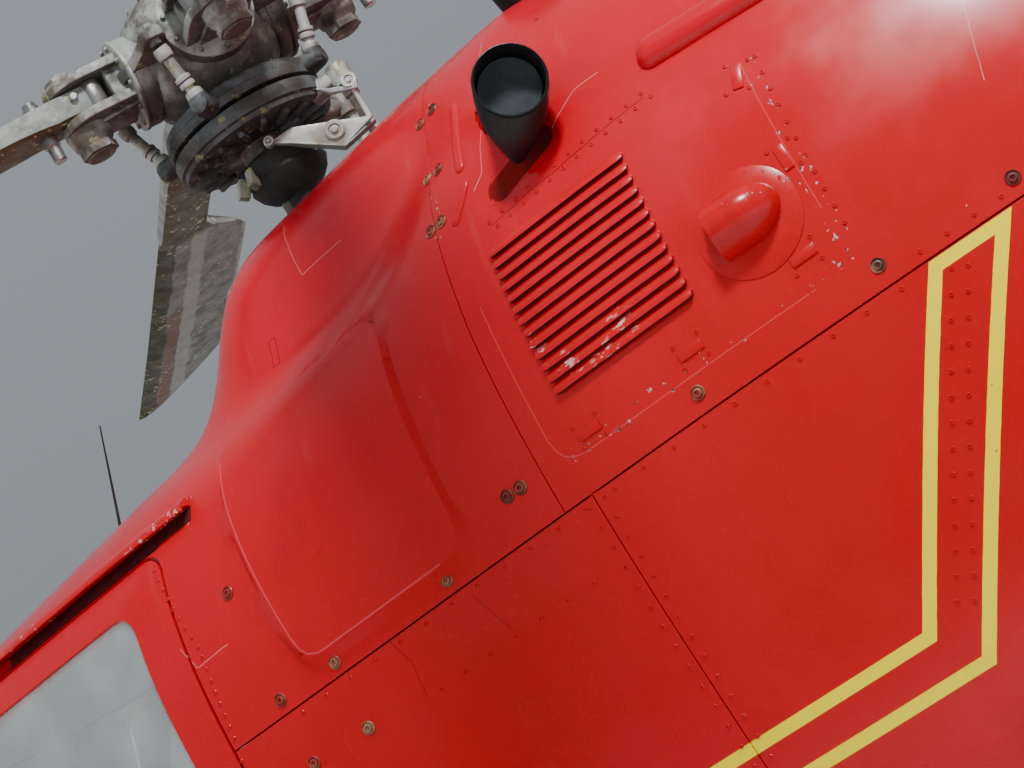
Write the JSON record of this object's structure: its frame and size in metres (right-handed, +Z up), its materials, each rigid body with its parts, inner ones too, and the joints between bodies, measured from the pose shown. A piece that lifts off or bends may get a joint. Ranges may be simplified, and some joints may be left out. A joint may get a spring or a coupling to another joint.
{
  "type": "light twin-engined skid helicopter",
  "caption": "Light helicopter on skids with a four-armed main rotor cut to stubs, a tail rotor, hinged cabin doors and rear clamshell doors.",
  "frame": {"origin": "middle of the bounding box on the ground", "axes": "+Z up, nose towards -Y, port side towards +X"},
  "size_m": [3.5264, 8.58, 3.8],
  "materials": {
    "red_paint": "gloss red, slightly faded",
    "clear_glass": "clear acrylic",
    "seat_fabric": "woven grey",
    "grey_interior": "satin grey",
    "black_plastic": "matte black",
    "blade_skin": "weathered grey-green",
    "tail_rotor_paint": "satin grey",
    "weathered_metal": "corroded grey metal",
    "burnt_steel": "sooty steel",
    "black_rubber": "matte",
    "skid_paint": "worn dark grey"
  },
  "bodies": {
    "airframe": {"pod_shell": "red_paint", "windscreen_frame": "red_paint", "cabin_roof": "red_paint", "transmission_fairing": "red_paint", "engine_cowling": "red_paint", "engine_deck": "grey_interior", "cabin_floor": "grey_interior", "main_gearbox": "weathered_metal", "instrument_panel": "black_plastic", "bench_frame": "grey_interior", "bench_cushion": "seat_fabric", "tail_boom": "red_paint", "tail_drive_cover": "red_paint", "tail_fin": "red_paint", "stabiliser": "red_paint", "tail_skid": "skid_paint", "cross_tube_front": "skid_paint", "cross_tube_rear": "skid_paint", "mast_boot": "black_rubber", "swashplate_fixed": "weathered_metal", "door_slide_port": "red_paint", "door_slide_glass_port": "clear_glass", "windscreen_port": "clear_glass", "chin_window_port": "clear_glass", "engine_port": "weathered_metal", "exhaust_outer_port": "burnt_steel", "exhaust_inner_port": "burnt_steel", "end_plate_port": "red_paint", "skid_port": "skid_paint", "seat_port": "grey_interior", "seat_cushion_port": "seat_fabric", "door_slide_starboard": "red_paint", "door_slide_glass_starboard": "clear_glass", "windscreen_starboard": "clear_glass", "chin_window_starboard": "clear_glass", "engine_starboard": "weathered_metal", "exhaust_outer_starboard": "burnt_steel", "exhaust_inner_starboard": "burnt_steel", "end_plate_starboard": "red_paint", "skid_starboard": "skid_paint", "seat_starboard": "grey_interior", "seat_cushion_starboard": "seat_fabric", "door_rail_port": "red_paint", "door_rail_starboard": "red_paint"},
    "main_rotor": {"rotor_head": "weathered_metal", "swashplate_turning": "weathered_metal", "rotor_blade_fore_port": "blade_skin", "rotor_blade_aft_port": "blade_skin", "rotor_blade_aft_starboard": "blade_skin", "rotor_blade_fore_starboard": "blade_skin"},
    "tail_rotor": {"tail_rotor": "tail_rotor_paint"},
    "front_door_port": {"door_front_port": "red_paint", "door_front_glass_port": "clear_glass"},
    "rear_door_port": {"rear_door_port": "red_paint"},
    "front_door_starboard": {"door_front_starboard": "red_paint", "door_front_glass_starboard": "clear_glass"},
    "rear_door_starboard": {"rear_door_starboard": "red_paint"}
  },
  "joints": [
    {"name": "main_rotor_spin", "type": "hinge", "parent": "airframe", "child": "main_rotor", "pos_m": [0, -1.83, 2.84], "axis": [0, 0, 1], "continuous": true},
    {"name": "tail_rotor_spin", "type": "hinge", "parent": "airframe", "child": "tail_rotor", "pos_m": [0.25, 4.16, 2.85], "axis": [1, 0, 0], "continuous": true},
    {"name": "front_door_port_hinge", "type": "hinge", "parent": "airframe", "child": "front_door_port", "pos_m": [0.614, -3.793, 0.95], "axis": [0, 0, -1], "range_deg": [0, 75]},
    {"name": "rear_door_port_hinge", "type": "hinge", "parent": "airframe", "child": "rear_door_port", "pos_m": [0.682, -0.65, 0.958], "axis": [0, -0.4974, -0.8675], "range_deg": [0, 85]},
    {"name": "front_door_starboard_hinge", "type": "hinge", "parent": "airframe", "child": "front_door_starboard", "pos_m": [-0.614, -3.793, 0.95], "axis": [0, 0, 1], "range_deg": [0, 75]},
    {"name": "rear_door_starboard_hinge", "type": "hinge", "parent": "airframe", "child": "rear_door_starboard", "pos_m": [-0.682, -0.65, 0.958], "axis": [0, 0.4974, 0.8675], "range_deg": [0, 85]}
  ]
}
